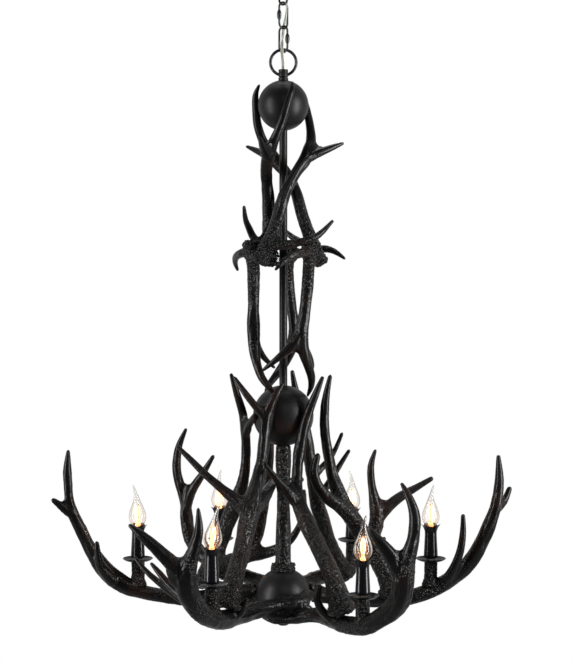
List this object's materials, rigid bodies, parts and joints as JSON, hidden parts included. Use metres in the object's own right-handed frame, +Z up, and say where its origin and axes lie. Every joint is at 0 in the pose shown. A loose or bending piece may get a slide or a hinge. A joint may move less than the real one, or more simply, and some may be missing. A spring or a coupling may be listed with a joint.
{
  "type": "chandelier",
  "caption": "Antler chandelier with candle lights: forked cast antlers screwed to spheres on one axis, hung from a ceiling canopy on a link chain.",
  "frame": {"origin": "middle of the crossbar's top face, level with the canopy's rim, where the part meets the ceiling", "axes": "+Z up, out of the ceiling face; +X to the right of the pictured side; -Y towards the viewer"},
  "size_m": [0.9109, 0.6905, 1.386],
  "materials": {
    "antler_resin": "satin black, bark relief",
    "black_metal": "satin black",
    "chain_metal": "gloss black",
    "cord_jacket": "clear vinyl",
    "bright_steel": "bright",
    "inner_steel": "zinc plated",
    "holder_plastic": "matt",
    "clear_glass": "clear",
    "cap_metal": "bright"
  },
  "bodies": {
    "ceiling": {"canopy": "black_metal", "canopy_crossbar": "inner_steel", "canopy_screws": "black_metal", "canopy_loop": "black_metal", "terminal_block": "holder_plastic", "supply_cord": "cord_jacket"},
    "link_1": {"chain_link_1": "chain_metal"},
    "link_2": {"chain_link_2": "chain_metal"},
    "link_3": {"chain_link_3": "chain_metal"},
    "link_4": {"chain_link_4": "chain_metal"},
    "ring": {"hanging_ring": "chain_metal"},
    "fixture": {"ring_collar": "black_metal", "top_sphere": "black_metal", "middle_sphere": "black_metal", "bottom_sphere": "black_metal", "stem_tube": "black_metal", "bark_column": "antler_resin", "column_burr": "antler_resin", "axis_rod": "inner_steel", "axis_nuts": "inner_steel", "bottom_finial": "black_metal", "spider_plate": "black_metal", "hub_flange": "inner_steel", "upper_antler_front": "antler_resin", "upper_antler_right": "antler_resin", "upper_antler_back": "antler_resin", "hanging_antler_left": "antler_resin", "hanging_antler_right": "antler_resin", "hanging_antler_back": "antler_resin", "upright_antler_front_left": "antler_resin", "upright_antler_front_right": "antler_resin", "upright_antler_left": "antler_resin", "upright_antler_right": "antler_resin", "upright_antler_back_right": "antler_resin", "upright_antler_back_left": "antler_resin", "candle_antler_left": "antler_resin", "candle_antler_front_left": "antler_resin", "candle_antler_front_right": "antler_resin", "candle_antler_right": "antler_resin", "candle_antler_back_right": "antler_resin", "candle_antler_back_left": "antler_resin", "candle_cups": "antler_resin", "drip_pans": "black_metal", "pan_nuts": "bright_steel", "candle_nipples": "inner_steel", "lampholders": "holder_plastic", "candle_sleeves": "black_metal", "antler_screws": "inner_steel"},
    "bulb_left": {"bulb_glass_left": "clear_glass", "bulb_base_left": "cap_metal"},
    "bulb_front_left": {"bulb_glass_front_left": "clear_glass", "bulb_base_front_left": "cap_metal"},
    "bulb_front_right": {"bulb_glass_front_right": "clear_glass", "bulb_base_front_right": "cap_metal"},
    "bulb_right": {"bulb_glass_right": "clear_glass", "bulb_base_right": "cap_metal"},
    "bulb_back_right": {"bulb_glass_back_right": "clear_glass", "bulb_base_back_right": "cap_metal"},
    "bulb_back_left": {"bulb_glass_back_left": "clear_glass", "bulb_base_back_left": "cap_metal"}
  },
  "joints": [
    {"name": "link_1_swing", "type": "hinge", "parent": "ceiling", "child": "link_1", "pos_m": [0, 0, -0.0631], "axis": [-0.7071, 0.7071, 0], "range_deg": [-15, 15], "deforming": ["supply_cord"]},
    {"name": "link_2_swing", "type": "hinge", "parent": "link_1", "child": "link_2", "pos_m": [0, 0, -0.11], "axis": [0.7071, 0.7071, 0], "range_deg": [-15, 15], "deforming": ["supply_cord"]},
    {"name": "link_3_swing", "type": "hinge", "parent": "link_2", "child": "link_3", "pos_m": [0, 0, -0.1573], "axis": [-0.7071, 0.7071, 0], "range_deg": [-15, 15], "deforming": ["supply_cord"]},
    {"name": "link_4_swing", "type": "hinge", "parent": "link_3", "child": "link_4", "pos_m": [0, 0, -0.2046], "axis": [0.7071, 0.7071, 0], "range_deg": [-15, 15], "deforming": ["supply_cord"]},
    {"name": "ring_swing", "type": "hinge", "parent": "link_4", "child": "ring", "pos_m": [0, 0, -0.2519], "axis": [-0.7071, 0.7071, 0], "range_deg": [-15, 15], "deforming": ["supply_cord"]},
    {"name": "fixture_swing", "type": "hinge", "parent": "ring", "child": "fixture", "pos_m": [0, 0, -0.2965], "axis": [1, 0, 0], "range_deg": [-15, 15], "deforming": ["supply_cord"]},
    {"name": "bulb_left_unscrew", "type": "slide", "parent": "fixture", "child": "bulb_left", "axis": [0, 0, 1], "range_m": [0, 0.03]},
    {"name": "bulb_front_left_unscrew", "type": "slide", "parent": "fixture", "child": "bulb_front_left", "axis": [0, 0, 1], "range_m": [0, 0.03]},
    {"name": "bulb_front_right_unscrew", "type": "slide", "parent": "fixture", "child": "bulb_front_right", "axis": [0, 0, 1], "range_m": [0, 0.03]},
    {"name": "bulb_right_unscrew", "type": "slide", "parent": "fixture", "child": "bulb_right", "axis": [0, 0, 1], "range_m": [0, 0.03]},
    {"name": "bulb_back_right_unscrew", "type": "slide", "parent": "fixture", "child": "bulb_back_right", "axis": [0, 0, 1], "range_m": [0, 0.03]},
    {"name": "bulb_back_left_unscrew", "type": "slide", "parent": "fixture", "child": "bulb_back_left", "axis": [0, 0, 1], "range_m": [0, 0.03]}
  ]
}
